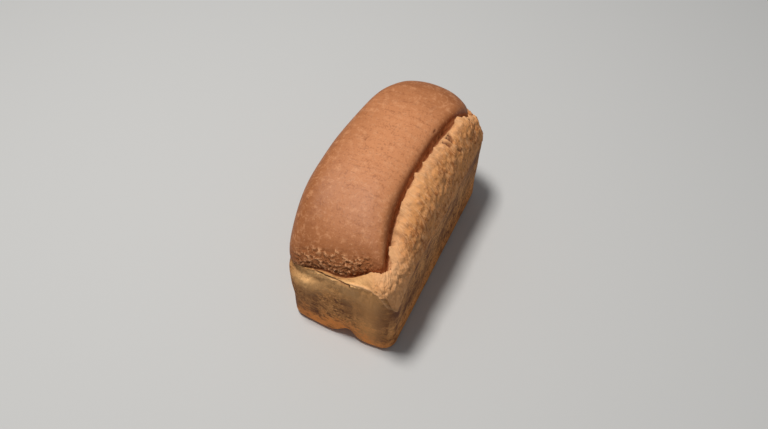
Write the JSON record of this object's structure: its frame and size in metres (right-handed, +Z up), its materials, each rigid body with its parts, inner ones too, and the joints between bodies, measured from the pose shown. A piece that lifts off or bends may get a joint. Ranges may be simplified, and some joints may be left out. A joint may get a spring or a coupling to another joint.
{
  "type": "tin loaf of bread",
  "caption": "Tall tin loaf with straight sides, a smooth domed brown cap and a torn bank of pale crumb along one long side.",
  "frame": {"origin": "centre of the loaf's outer box, on the flat base it rests on", "axes": "+X along the loaf, away from the end with the ragged cap edge; -Y towards the torn long side; +Z up"},
  "size_m": [0.2432, 0.1252, 0.1429],
  "materials": {
    "baked_crust": "matte baked crust, brown on the cap and golden where torn"
  },
  "bodies": {
    "root": {"loaf": "baked_crust"}
  },
  "joints": []
}
